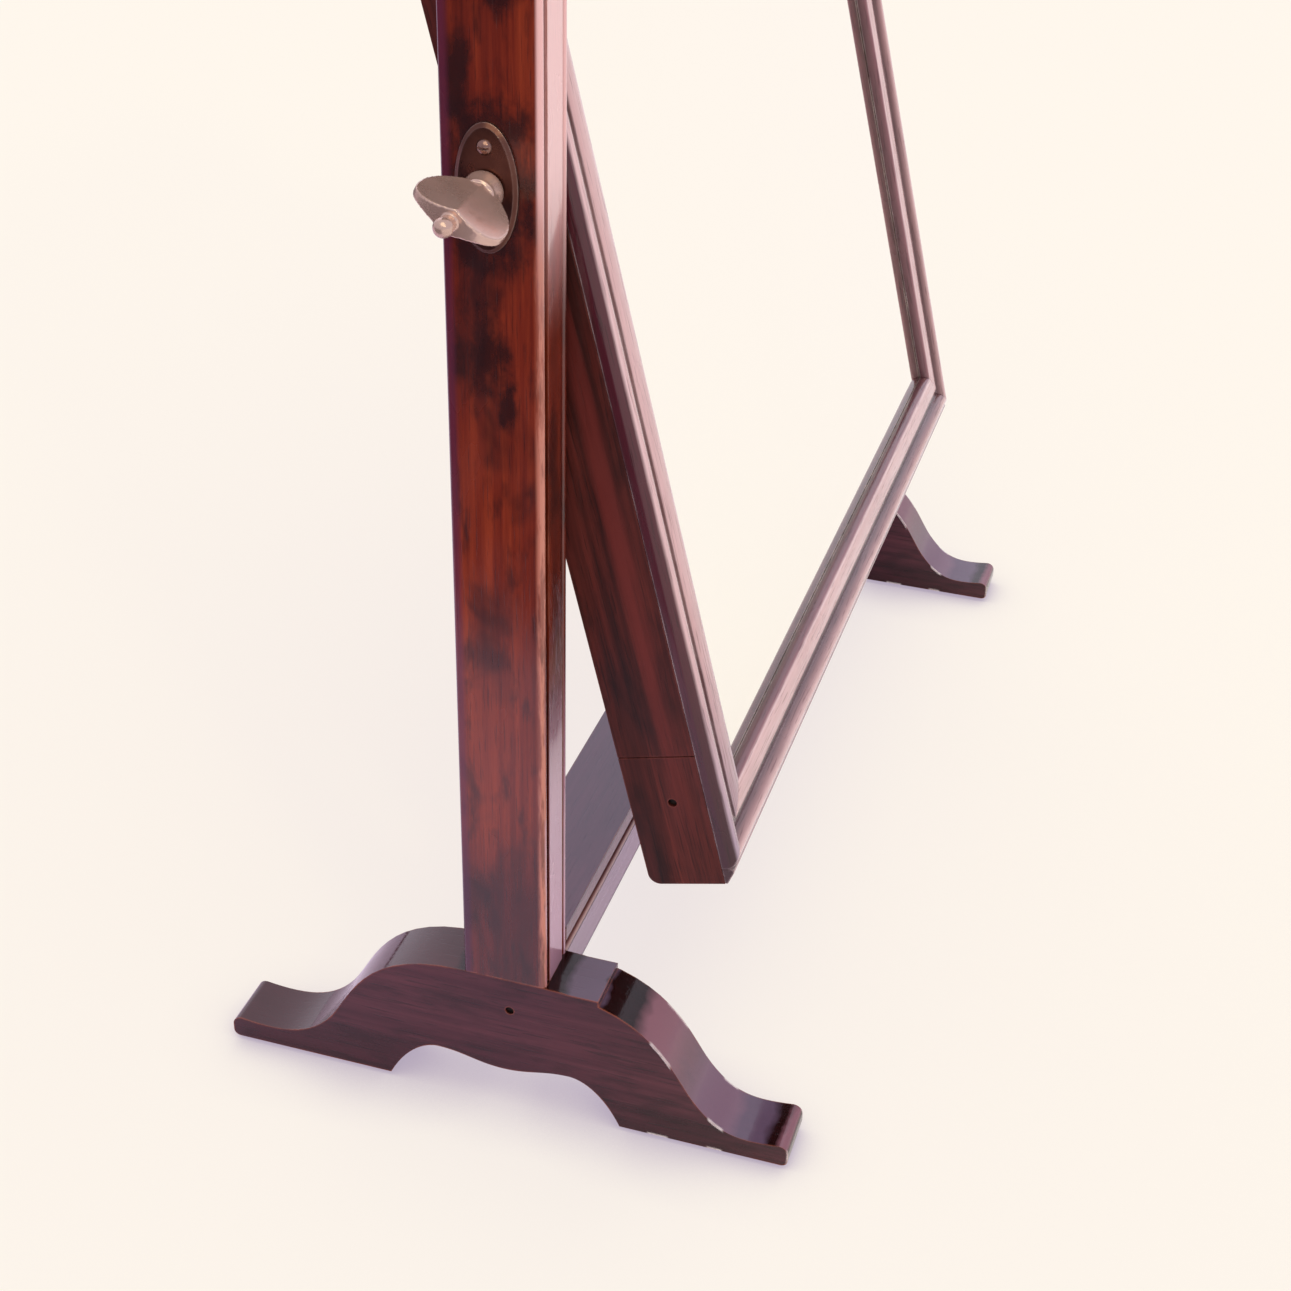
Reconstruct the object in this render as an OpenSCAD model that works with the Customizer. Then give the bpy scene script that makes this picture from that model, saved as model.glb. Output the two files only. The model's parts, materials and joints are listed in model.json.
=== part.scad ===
// Swing mirror for a dressing table: two bracket feet, two square posts and a moulded stretcher
// carry a deep framed looking glass on a pair of thumb screws.
// Millimetres, +Z up, front towards -Y. The origin is on the table, midway between the feet.

/* [Stand] */
// Width over the outer faces of the feet
overall_w = 437.5; // [380:0.5:520]
// Thickness of posts and feet, side to side
side_t = 22; // [20:0.5:26]
// Depth of a post and of the stretcher, front to back
post_d = 30.3; // [26:0.1:34]
// How far the posts stand ahead of the middle of the feet
post_ahead = 2; // [0:0.1:4]
// How far the pivot lies behind the middle of a post
pivot_behind = 1; // [0:0.1:3]
// Height of the pivot over the underside of the feet
pivot_up = 344; // [334:1:400]
// Rise of a post above the pivot
post_above = 86; // [60:1:140]
// Radius of the rounded top of a post
post_top_r = 20; // [18:0.5:60]
// Width of the bead along each front edge of a post
post_bead = 3; // [2:0.1:4]
// Width of the groove beside that bead
post_quirk = 1.7; // [1:0.1:2.5]
// Depth of that groove
post_quirk_d = 1.5; // [0.6:0.1:2]
// Rounding of the back edges of a post
post_edge_r = 1.2; // [0.5:0.1:2.5]

/* [Feet] */
// Length of a foot, front to back
foot_l = 214; // [200:1:240]
// Height of a foot where the post stands on it
foot_h = 56.7; // [52:0.1:62]
// Height of the toe
toe_h = 8.8; // [7:0.1:12]
// Rounding of the upper edge of the toe
toe_r = 3.5; // [1:0.1:4]
// Rounding of the lower edge of the toe
toe_low_r = 2.5; // [0.5:0.1:3]
// Dip of the toe's top behind its tip
toe_dip = 2.2; // [0:0.1:3]
// Reach of that dip
toe_sweep = 15.3; // [8:0.1:20]
// Distance from the front toe's end to the middle of the front slope
knee_in_front = 34.9; // [32:0.1:42]
// Distance from the back toe's end to the middle of the back slope
knee_in_back = 40.2; // [32:0.1:42]
// Height of the middle of the slope
knee_z = 19.8; // [16:0.1:24]
// Steepness of the slope, in degrees
knee_slope = 52; // [44:1:60]
// Sweep of the hollow below the middle of the slope
hollow_sweep = 15.2; // [8:0.1:18]
// Sweep of the round above the middle of the slope
round_sweep = 13.6; // [8:0.1:18]
// Sweep of the shoulder ahead of the post
shoulder_front = 42; // [30:1:44]
// Sweep of the shoulder behind the post
shoulder_back = 38; // [30:1:44]
// Reach of the flat ledge ahead of the post's middle
ledge_reach = 34.5; // [28:0.5:38]
// Drop of that ledge below the foot's top
ledge_drop = 0.6; // [0:0.1:1.5]
// How far the arch stands ahead of the middle of the foot
arch_ahead = 0.8; // [0:0.1:4]
// Width of the arch under a foot
arch_w = 88.4; // [70:0.2:100]
// Height of the arch
arch_h = 18.2; // [12:0.1:22]
// Distance from the middle to the top of the arch, on each side
arch_crown = 25; // [18:0.5:28]
// Height of the soft point that hangs in the middle of the arch
arch_point = 14.7; // [9:0.1:16]
// Inward sweep where the arch leaves the pad
arch_side_y = 7; // [3:0.1:9]
// Upward sweep where the arch leaves the pad
arch_side_z = 15; // [8:0.1:18]
// Sweep of the arch's top towards the pad
arch_top_sweep = 4; // [2:0.1:8]
// Sweep of the soft point, to each side
arch_point_sweep = 10; // [6:0.5:12]

/* [Glides and joint pins] */
// Diameter of a glide under a foot
glide_d = 10; // [8:0.5:14]
// Thickness of a glide
glide_t = 2; // [1:0.1:4]
// Distance from a toe's end to the middle of its glide
glide_in = 24; // [18:1:34]
// Diameter of the nail that holds a glide
glide_nail_d = 2; // [1.5:0.1:3]
// Length of that nail above the glide
glide_nail_l = 6; // [4:0.5:9]
// Diameter of the pin through foot, tenon and stretcher
joint_pin_d = 3; // [2:0.1:5]
// Length of that pin
joint_pin_l = 46; // [36:1:70]
// Depth of its head below the foot's face
joint_pin_sunk = 1.2; // [0.3:0.1:2]
// Height of that pin over the underside of the feet
joint_pin_up = 42.9; // [42:0.1:50]
// How far that pin lies ahead of the middle of a post
joint_pin_ahead = 1.6; // [0:0.1:3]

/* [Joinery of the stand] */
// Thickness of the tenon under a post
tenon_t = 11; // [8:0.5:13]
// Depth of that tenon, front to back
tenon_d = 22; // [16:0.5:24]
// Length of that tenon
tenon_l = 28; // [22:0.5:32]
// Length of the stub tenons on the stretcher
stub_l = 4.5; // [3:0.1:4.6]
// Inset of a stub tenon from the stretcher's front and back
stub_inset = 5; // [3:0.1:8]
// Inset of a stub tenon from the stretcher's top and underside
stub_shoulder = 2; // [1:0.1:2.5]

/* [Stretcher] */
// Height of the stretcher's top over the underside of the feet
rail_top = 67.6; // [60:0.1:70]
// Height of the stretcher
rail_h = 29.6; // [24:0.1:34]
// Height of the square lip along its top front edge
lip_h = 6.4; // [3:0.1:8]
// Height of the hollow below the lip
hollow_h = 3.6; // [2:0.1:5]
// Depth of the hollow
hollow_d = 2.6; // [1:0.1:4]
// Height of the bead below the hollow
bead_h = 2.8; // [1.5:0.1:4]
// Height of the groove below the bead
groove_h = 1.4; // [0.8:0.1:3]
// Depth of that groove
groove_d = 1.6; // [0.8:0.1:3]
// Set-back of the face below the groove
face_back = 0.8; // [0:0.1:1.4]

/* [Mirror frame] */
// Lean of the mirror as it stands, in degrees
lean = 14.2; // [0:0.1:20]
// Height of the mirror frame
frame_h = 509.6; // [450:0.2:520]
// Depth of the frame behind the front moulding
back_d = 27.2; // [24:0.1:30]
// Distance from the pivot forward to the moulding's back
seam_ahead = 10.3; // [8:0.1:14]
// Width of an upright
stile_w = 20; // [18:0.5:24]
// Height of the top and bottom rails
cross_h = 51.4; // [44:0.1:64]
// Rounding of the frame's back edges at top and bottom
frame_edge_r = 4; // [1:0.1:6]
// Thickness of the tenons on the rails
cross_tenon_t = 9; // [6:0.5:12]
// Length of those tenons
cross_tenon_l = 12; // [8:0.5:16]
// Inset of those tenons from the rail's edges
cross_tenon_inset = 8; // [5:0.5:12]
// Distance of those tenons behind the pivot
cross_tenon_back = 1.5; // [0:0.1:5]
// Width of the marking line cut at each joint
scribe_w = 0.5; // [0.3:0.1:1]
// Depth of that line
scribe_d = 0.4; // [0.2:0.1:0.8]
// Diameter of the pin in each corner
corner_pin_d = 3; // [2:0.1:4]
// Length of that pin
corner_pin_l = 44; // [30:1:60]
// Depth of its head below the frame's side
corner_pin_sunk = 1.4; // [0.5:0.1:3]
// Distance of that pin from the frame's end
corner_pin_in = 33.2; // [26:0.1:36]

/* [Front moulding] */
// Height of the round outer bead over the moulding's back
bead_top = 6.2; // [5:0.1:9]
// Height of the moulding's outer side
bead_side = 2.4; // [1:0.1:3.5]
// Width of the outer bead
bead_w = 8.6; // [6:0.1:10]
// Width of the bevelled edge beyond the bead at top and bottom
edge_w = 5.8; // [4:0.1:8]
// Height of that edge at its outer side
edge_low = 1; // [0.6:0.1:2]
// Height of that edge beside the bead
edge_high = 4.1; // [3:0.1:4.6]
// Width of its flat beside the bead
edge_flat = 1.5; // [0.5:0.1:2.5]
// Width of the sunk fillet inside the bead
fillet_w = 4.1; // [3:0.1:5]
// Height of that fillet
fillet_h = 3.1; // [2:0.1:4]
// Height of the broad band at its outer edge
band_outer_h = 4.2; // [3.8:0.1:6]
// Height of the broad band at its inner edge
band_inner_h = 4.4; // [3.6:0.1:6]
// Swell of the broad band
band_swell = 0.4; // [0:0.1:1.2]
// Width of the rounding from the band down to the glass
brow_w = 2.2; // [1:0.1:3]

/* [Glass and back] */
// Thickness of the glass
glass_t = 4; // [3:0.1:5]
// How far the moulding covers the glass
glass_cover = 4; // [3:0.1:6]
// Room behind the glass in the seat cut into the rails
glass_room = 1; // [0.4:0.1:2]
// Width and depth of a glass block
block_s = 7; // [4:0.5:10]
// Length of a glass block
block_l = 34; // [20:1:50]
// Number of glass blocks on each upright
block_n = 4; // [2:1:6]
// Thickness of the backboard
board_t = 5; // [3:0.1:7]
// Depth of the backboard's face below the frame's back
board_sunk = 1.5; // [0:0.1:4]
// Width of the seat that the backboard lies on
board_seat = 8; // [5:0.5:12]
// Diameter of a backboard nail
board_nail_d = 1.6; // [1.2:0.1:2.4]
// Diameter of its head
board_nail_head = 4; // [3:0.1:6]
// Thickness of its head
board_nail_head_t = 0.6; // [0.4:0.1:1.2]
// Length of that nail in the wood
board_nail_l = 14; // [9:0.5:16]
// Number of nails along each upright
board_nail_n = 5; // [3:1:8]

/* [Pivot plates] */
// Length of the plate let into the frame's side
plate_l = 42; // [36:1:60]
// Width of that plate
plate_w = 14; // [13:0.5:20]
// Thickness of that plate
plate_t = 2; // [1.5:0.1:3]
// Diameter of the threaded boss behind it
boss_d = 11; // [10:0.5:14]
// Length of that boss
boss_l = 8; // [6:0.5:10]
// Distance between the plate's two screws
plate_screw_gap = 30; // [26:0.5:44]
// Diameter of those screws
plate_screw_d = 2.6; // [2:0.1:3.2]
// Diameter of their sunk heads
plate_screw_head = 5; // [4:0.1:6]
// Depth of their sunk heads
plate_screw_head_t = 1.4; // [1:0.1:1.8]
// Length of those screws
plate_screw_l = 16; // [10:0.5:18]
// Diameter of the friction washer between post and frame
washer_d = 16; // [13:0.5:22]

/* [Thumb screws] */
// Height of the oval plate on the post
oval_h = 38; // [34:0.5:48]
// Width of the oval plate
oval_w = 19; // [16:0.5:24]
// Thickness of the oval plate
oval_t = 1.8; // [1.2:0.1:3]
// Width of its sloping rim
oval_rim = 1.3; // [0.6:0.1:2]
// Thickness of its edge at the wood
oval_edge = 0.8; // [0.4:0.1:1]
// Distance from the pivot to each of its screws
oval_screw_out = 12.2; // [11:0.1:15]
// Diameter of those round-headed screws
oval_screw_d = 2.4; // [2:0.1:3]
// Diameter of their heads
oval_screw_head = 4.8; // [4:0.1:5.6]
// Height of their heads
oval_screw_head_t = 1.7; // [1:0.1:2.2]
// Length of those screws in the wood
oval_screw_l = 12; // [8:0.5:18]
// Width of the slots in all screw heads
slot_w = 0.7; // [0.4:0.1:1]
// Depth of those slots
slot_d = 0.7; // [0.4:0.1:0.9]
// Diameter of a thumb screw's shank
shank_d = 6.4; // [5:0.1:7]
// Diameter of its collar
collar_d = 12; // [10:0.1:15]
// Length of the collar
collar_l = 4.6; // [3:0.1:6]
// Diameter of its neck
neck_d = 10; // [8:0.1:12]
// Distance from the post's face to the inner edge of the wings
wing_in = 5; // [3:0.1:7]
// Distance from the post's face to the widest place of the wings
wing_wide = 20.5; // [17:0.5:24]
// Distance from the post's face to the outer edge of the wings
wing_end = 28.6; // [26:0.1:30]
// Reach of a wing from the axis
wing_reach = 13.8; // [11:0.1:17]
// Thickness of the wings at the axis
wing_mid_t = 8.6; // [6:0.1:10]
// Thickness of the wings at their tips
wing_tip_t = 2.4; // [1.6:0.1:4]
// Turn of the wings from level, back one raised, in degrees
wing_turn = 27; // [0:1:60]
// Distance from the post's face to the middle of the end ball
ball_out = 32.8; // [31:0.1:38]
// Diameter of the end ball
ball_d = 5.8; // [5:0.1:8]
// Diameter of the stem that carries the ball
stem_d = 4.4; // [3:0.1:4.8]

/* [Clearances] */
// Gap between a post and the mirror frame
side_gap = 1.9; // [1.2:0.1:4]
// Clearance round the shank in the post and the oval plate
shank_clear = 0.1; // [0.05:0.01:0.1]
// Clearance round the shank in the threaded boss
thread_clear = 0.05; // [0.02:0.01:0.1]
// Gap between parts that turn against each other
face_clear = 0.2; // [0.1:0.05:0.4]
// Clearance round wooden tenons
tenon_clear = 0.1; // [0.05:0.05:0.3]
// Space left beyond the end of a tenon
tenon_end_clear = 1; // [0.4:0.1:1.5]
// Clearance round pins, screws and nails
pin_clear = 0.05; // [0.02:0.01:0.1]
// Clearance between fitted flat parts
seat_clear = 0.05; // [0.02:0.01:0.2]

/* [Hidden] */
$fn = 48;
over = 1;
curve_steps = 14;
arc_steps = 6;
bead_steps = 16;
band_steps = 8;
oval_steps = 60;
wing_steps = 24;

mahogany = [0.44, 0.15, 0.09];
dark_mahogany = [0.26, 0.10, 0.09];
moulding_mahogany = [0.70, 0.50, 0.49];
pine = [0.62, 0.47, 0.30];
old_brass = [0.36, 0.28, 0.22];
nickel = [0.56, 0.50, 0.45];
iron = [0.14, 0.12, 0.12];
silvered = [0.88, 0.90, 0.90];
leather = [0.22, 0.13, 0.08];

outer_x = overall_w/2;
inner_x = outer_x - side_t;
mid_x = outer_x - side_t/2;
post_y = -post_ahead;
pivot_y = post_y + pivot_behind;
pivot_z = glide_t + pivot_up;
foot_top_z = glide_t + foot_h;
post_top_z = pivot_z + post_above;
stretcher_z = glide_t + rail_top - rail_h;
tenon_z = foot_top_z - tenon_l;
half_foot = foot_l/2;
glide_y = half_foot - glide_in;
pin_y = post_y - joint_pin_ahead;
pin_z = glide_t + joint_pin_up;

frame_w = 2*(inner_x - side_gap);
frame_x = frame_w/2;
half_h = frame_h/2;
mould_h = frame_h - 2*edge_w;
seam_w = -seam_ahead;
back_w = seam_w + back_d;
mould_w = stile_w + glass_cover;
glass_in = stile_w + seat_clear;
glass_w = frame_w - 2*glass_in;
glass_h = mould_h - 2*glass_in;
glass_front = seam_w + seat_clear;
glass_back = glass_front + glass_t;
glass_seat = glass_t + glass_room;
rail_len = frame_w - 2*stile_w;
board_back = back_w - board_sunk;
board_front = board_back - board_t;
board_w = frame_w - 2*(stile_w - board_seat) - 2*seat_clear;
board_h = frame_h - 2*(cross_h - board_seat) - 2*seat_clear;
nail_x = frame_x - stile_w + board_seat/2;
nail_v = half_h - cross_h + board_seat/2;

// Points along a curve with two end points and two handles
function sweep_at(a, b, c, d, t) =
  pow(1 - t, 3)*a + 3*pow(1 - t, 2)*t*b + 3*(1 - t)*t*t*c + t*t*t*d;
function sweep(a, b, c, d) = [for (i = [1:curve_steps]) sweep_at(a, b, c, d, i/curve_steps)];
function arc(centre, r, from, to) =
  [for (i = [0:arc_steps]) let (a = from + (to - from)*i/arc_steps) centre + r*[cos(a), sin(a)]];
function flip(points) = [for (i = [len(points) - 1:-1:0]) [-points[i][0], points[i][1]]];
function rest(points) = [for (i = [1:len(points) - 1]) points[i]];
function spread(n, span) = [for (i = [0:n - 1]) -span/2 + span*i/(n - 1)];

// Half outline of a foot, from the middle of the arch round to the top
toe_tip = [half_foot - toe_r, toe_h];
slope = [cos(knee_slope), -sin(knee_slope)];
foot_head = [post_d/2, foot_h];
function half_foot_line(knee, shoulder, arch_middle) = let (
  point = [arch_middle, arch_point],
  crown = [arch_middle + arch_crown, arch_h],
  pad_corner = [arch_middle + arch_w/2, 0]
) concat(
  [point],
  sweep(point, point + [arch_point_sweep, 0], crown - [arch_point_sweep, 0], crown),
  sweep(crown, crown + [arch_top_sweep, 0], pad_corner + [-arch_side_y, arch_side_z], pad_corner),
  arc([half_foot - toe_low_r, toe_low_r], toe_low_r, -90, 0),
  arc([half_foot - toe_r, toe_h - toe_r], toe_r, 0, 90),
  sweep(toe_tip, toe_tip - [toe_sweep, toe_dip], knee + hollow_sweep*slope, knee),
  sweep(knee, knee - round_sweep*slope, foot_head + [shoulder, 0], foot_head)
);
back_foot_line = half_foot_line([half_foot - knee_in_back, knee_z], shoulder_back, -arch_ahead);
front_foot_line = half_foot_line([half_foot - knee_in_front, knee_z], shoulder_front, arch_ahead);

// Front face of the moulding, from its outer side to the glass
bead_points = [for (i = [0:bead_steps]) let (a = 180 - 160*i/bead_steps)
  [bead_w/2*(1 + cos(a)), bead_side + (bead_top - bead_side)*sin(a)]];
band_from = bead_w + fillet_w;
band_to = mould_w - brow_w;
band_points = [for (i = [0:band_steps]) let (t = i/band_steps)
  [band_from + (band_to - band_from)*t,
   band_outer_h + (band_inner_h - band_outer_h)*t + 4*band_swell*t*(1 - t)]];
brow_points = [for (i = [1:arc_steps]) let (a = 90*i/arc_steps)
  [band_to + brow_w*sin(a), band_inner_h*cos(a)]];
moulding_face = concat(bead_points, [[bead_w, fillet_h], [band_from, fillet_h]], band_points, brow_points);
edge_points = [[-edge_w, 0], [-edge_w, edge_low], [-edge_flat, edge_high], [0, edge_high]];

module at_side(side) {
  if (side < 0) children();
  else mirror([1, 0, 0]) children();
}

module at_pivot() {
  translate([0, pivot_y, pivot_z]) rotate([-lean, 0, 0]) children();
}

// Lays a flat outline drawn as (depth, height) across the object, from x = from to x = to
module across(from, to) {
  translate([from, 0, 0]) rotate([90, 0, 90]) linear_extrude(to - from) children();
}

module rod_x(d, from, to) {
  translate([from, 0, 0]) rotate([0, 90, 0]) cylinder(d = d, h = to - from);
}

// Stand
module foot_blank() {
  across(-outer_x, -inner_x) {
    polygon(concat(back_foot_line, flip(rest(front_foot_line))));
    translate([post_y - ledge_reach, foot_h/2]) square([ledge_reach, foot_h/2 - ledge_drop]);
    translate([post_y - post_d/2, foot_h/2]) square([post_d, foot_h/2]);
  }
}

// A stub tenon of the stretcher, grown all round by clear to cut its mortise
module stub(clear) {
  side = stub_inset - clear;
  shoulder = stub_shoulder - clear;
  translate([-inner_x - stub_l - clear, post_y - post_d/2 + side, stretcher_z + shoulder])
    cube([stub_l + clear + over, post_d - 2*side, rail_h - 2*shoulder]);
}

module joint_pin_hole() {
  translate([0, pin_y, pin_z])
    rod_x(joint_pin_d + 2*pin_clear, -outer_x - over, -outer_x + joint_pin_sunk + joint_pin_l + over);
}

module foot() {
  color(dark_mahogany)
  difference() {
    translate([0, 0, glide_t]) foot_blank();
    translate([-mid_x - tenon_t/2 - tenon_clear, post_y - tenon_d/2 - tenon_clear,
               tenon_z - tenon_end_clear])
      cube([tenon_t + 2*tenon_clear, tenon_d + 2*tenon_clear, tenon_l + tenon_end_clear + over]);
    stub(tenon_clear);
    joint_pin_hole();
    for (y = [-glide_y, glide_y])
      translate([-mid_x, y, glide_t - over])
        cylinder(d = glide_nail_d + 2*pin_clear, h = glide_nail_l + 2*over);
  }
}

module post_section() {
  flat = side_t - 2*post_bead - 2*post_quirk;
  translate([-outer_x, post_y - post_d/2]) {
    translate([0, post_bead/2]) square([side_t, post_d - post_bead/2 - post_edge_r]);
    for (x = [0, side_t - post_bead])
      translate([x + post_bead/2, post_bead/2]) circle(d = post_bead);
    translate([post_bead + post_quirk, 0]) square([flat, post_d/2]);
    translate([post_edge_r, post_d/2]) square([side_t - 2*post_edge_r, post_d/2]);
    for (x = [post_edge_r, side_t - post_edge_r])
      translate([x, post_d - post_edge_r]) circle(r = post_edge_r);
  }
}

module post_grooves() {
  for (x = [post_bead, side_t - post_bead - post_quirk])
    translate([-outer_x + x, post_y - post_d/2 - over, foot_top_z - over])
      cube([post_quirk, post_quirk_d + over, post_top_z]);
}

module post() {
  color(mahogany)
  difference() {
    union() {
      intersection() {
        translate([0, 0, foot_top_z]) linear_extrude(post_top_z - foot_top_z) post_section();
        union() {
          translate([-outer_x - over, post_y - post_d, 0])
            cube([side_t + 2*over, 2*post_d, post_top_z - post_top_r]);
          translate([0, post_y, post_top_z - post_top_r])
            rod_x(2*post_top_r, -outer_x - over, -inner_x + over);
        }
      }
      translate([-mid_x - tenon_t/2, post_y - tenon_d/2, tenon_z])
        cube([tenon_t, tenon_d, tenon_l + over]);
    }
    post_grooves();
    stub(tenon_clear);
    joint_pin_hole();
    translate([0, pivot_y, pivot_z])
      rod_x(shank_d + 2*shank_clear, -outer_x - over, -inner_x + over);
    for (z = [-oval_screw_out, oval_screw_out])
      translate([0, pivot_y, pivot_z + z])
        rod_x(oval_screw_d + 2*pin_clear, -outer_x - over, -outer_x + oval_screw_l + over);
  }
}

module stretcher_section() {
  front = -post_d/2;
  hollow_top = rail_h - lip_h;
  bead_top_z = hollow_top - hollow_h;
  groove_top = bead_top_z - bead_h;
  face_top = groove_top - groove_h;
  translate([front + face_back, 0]) square([post_d - face_back, face_top]);
  translate([front + groove_d, 0]) square([post_d - groove_d, rail_h]);
  translate([front + bead_h/2, groove_top]) square([post_d/2, bead_h]);
  translate([front + bead_h/2, groove_top + bead_h/2]) circle(d = bead_h);
  translate([front, hollow_top]) square([post_d, lip_h]);
}

module stretcher_hollow() {
  hollow_mid = rail_h - lip_h - hollow_h/2;
  translate([-post_d/2 - over, hollow_mid - hollow_h/2]) square([hollow_d + over - hollow_h/2, hollow_h]);
  translate([-post_d/2 + hollow_d - hollow_h/2, hollow_mid]) circle(d = hollow_h);
}

module stretcher() {
  color(dark_mahogany)
  difference() {
    union() {
      translate([0, post_y, stretcher_z])
        across(-inner_x, inner_x) difference() {
          stretcher_section();
          stretcher_hollow();
        }
      for (side = [-1, 1]) at_side(side) stub(0);
    }
    for (side = [-1, 1]) at_side(side) joint_pin_hole();
  }
}

module joint_pins() {
  color(iron)
  for (side = [-1, 1]) at_side(side)
    translate([0, pin_y, pin_z])
      rod_x(joint_pin_d, -outer_x + joint_pin_sunk, -outer_x + joint_pin_sunk + joint_pin_l);
}

module foot_glides() {
  color(iron)
  for (side = [-1, 1], y = [-glide_y, glide_y]) at_side(side)
    translate([-mid_x, y, 0]) {
      cylinder(d = glide_d, h = glide_t);
      cylinder(d = glide_nail_d, h = glide_t + glide_nail_l);
    }
}

// Fittings on the posts, drawn along the pivot with z = 0 on the post's outer face, outwards up
module on_post() {
  translate([-outer_x, pivot_y, pivot_z]) rotate([0, -90, 0]) children();
}

module oval(grow) {
  polygon([for (i = [1:oval_steps]) let (a = 360*i/oval_steps)
    [(oval_h/2 + grow)*cos(a), (oval_w/2 + grow)*sin(a)]]);
}

module oval_plate() {
  color(old_brass)
  on_post() difference() {
    hull() {
      linear_extrude(oval_edge) oval(0);
      linear_extrude(oval_t) oval(-oval_rim);
    }
    translate([0, 0, -over]) cylinder(d = shank_d + 2*shank_clear, h = oval_t + 2*over);
    for (x = [-oval_screw_out, oval_screw_out])
      translate([x, 0, -over]) cylinder(d = oval_screw_d + 2*pin_clear, h = oval_t + 2*over);
  }
}

module round_head(d, t) {
  dome_r = (d*d/4 + t*t)/(2*t);
  intersection() {
    translate([0, 0, t - dome_r]) sphere(r = dome_r);
    cylinder(d = 2*d, h = 2*t);
  }
}

module oval_plate_screws() {
  color(old_brass)
  on_post() for (x = [-oval_screw_out, oval_screw_out])
    translate([x, 0, oval_t]) difference() {
      union() {
        round_head(oval_screw_head, oval_screw_head_t);
        translate([0, 0, -oval_screw_l]) cylinder(d = oval_screw_d, h = oval_screw_l + slot_d/2);
      }
      translate([-slot_w/2, -oval_screw_head, oval_screw_head_t - slot_d])
        cube([slot_w, 2*oval_screw_head, slot_d + over]);
    }
}

// Wings: a fan-shaped outline seen along their thickness, and a waisted one seen along the axis
module wing_outline() {
  widest = [wing_reach, wing_wide];
  side = concat(
    sweep([0, wing_in], [wing_reach/2, wing_in], widest - [0, (wing_wide - wing_in)*3/5], widest),
    sweep(widest, widest + [0, (wing_end - wing_wide)*3/4], [wing_reach*2/3, wing_end], [0, wing_end])
  );
  polygon(concat([[0, wing_in]], side, rest(flip(side))));
}

module wing_waist() {
  reach = wing_reach + over;
  side = [for (i = [0:wing_steps]) let (t = 2*i/wing_steps - 1, y = reach*t, n = 1 - abs(t))
    [wing_tip_t/2 + (wing_mid_t - wing_tip_t)/2*n*n, y]];
  polygon(concat(side, flip(side)));
}

module thumb_screw() {
  seat = oval_t + face_clear;
  shank_end = side_t + side_gap + plate_t + boss_l;
  color(nickel)
  translate([-outer_x, pivot_y, pivot_z]) rotate([wing_turn, 0, 0]) rotate([0, -90, 0]) {
    translate([0, 0, -shank_end]) cylinder(d = shank_d, h = shank_end + seat + over);
    translate([0, 0, seat]) rotate_extrude()
      polygon(concat([[0, 0]], arc([collar_d/2 - 1, 1], 1, -90, 0),
        [[collar_d/2, collar_l/3], [neck_d/2, collar_l], [neck_d/2, collar_l + over],
         [0, collar_l + over]]));
    intersection() {
      rotate([90, 0, 90]) translate([0, 0, -wing_mid_t]) linear_extrude(2*wing_mid_t) wing_outline();
      translate([0, 0, seat]) linear_extrude(ball_out) wing_waist();
    }
    translate([0, 0, wing_wide]) cylinder(d = stem_d, h = ball_out - wing_wide);
    translate([0, 0, ball_out]) sphere(d = ball_d);
  }
}

// Mirror frame, drawn upright about the pivot as (across, depth, height) with the back at +Y
module frame_outline() {
  r = frame_edge_r;
  translate([seam_w, -half_h]) square([back_d - r, frame_h]);
  translate([seam_w, r - half_h]) square([back_d, frame_h - 2*r]);
  for (v = [-half_h + r, half_h - r]) translate([back_w - r, v]) circle(r = r);
}

module board_seat_cut() {
  translate([-board_w/2 - seat_clear, board_front, -board_h/2 - seat_clear])
    cube([board_w + 2*seat_clear, board_t + board_sunk + over, board_h + 2*seat_clear]);
}

module board_nail_holes() {
  for (p = board_nail_places())
    translate([p[0], board_back + over, p[1]]) rotate([90, 0, 0])
      cylinder(d = board_nail_d + 2*pin_clear, h = board_nail_l + 2*over);
}

function board_nail_places() = concat(
  [for (x = [-nail_x, nail_x], v = spread(board_nail_n, 2*nail_v)) [x, v]],
  [for (x = [-nail_x/3, nail_x/3], v = [-nail_v, nail_v]) [x, v]]
);

module corner_pin_holes() {
  for (v = [-half_h + corner_pin_in, half_h - corner_pin_in])
    translate([0, cross_tenon_back, v])
      rod_x(corner_pin_d + 2*pin_clear, -frame_x - over,
            -frame_x + corner_pin_sunk + corner_pin_l + over);
}

module rail_tenon(clear, end) {
  translate([-frame_x + stile_w - cross_tenon_l - end, cross_tenon_back - cross_tenon_t/2 - clear,
             -half_h + cross_tenon_inset - clear])
    cube([cross_tenon_l + end + over, cross_tenon_t + 2*clear, cross_h - 2*cross_tenon_inset + 2*clear]);
}

module plate_outline(grow) {
  straight = plate_l - plate_w;
  translate([-straight/2, -plate_w/2 - grow]) square([straight, plate_w + 2*grow]);
  for (x = [-straight/2, straight/2]) translate([x, 0]) circle(r = plate_w/2 + grow);
}

module on_frame_side() {
  translate([-frame_x, 0, 0]) rotate([0, -90, 0]) children();
}

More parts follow.
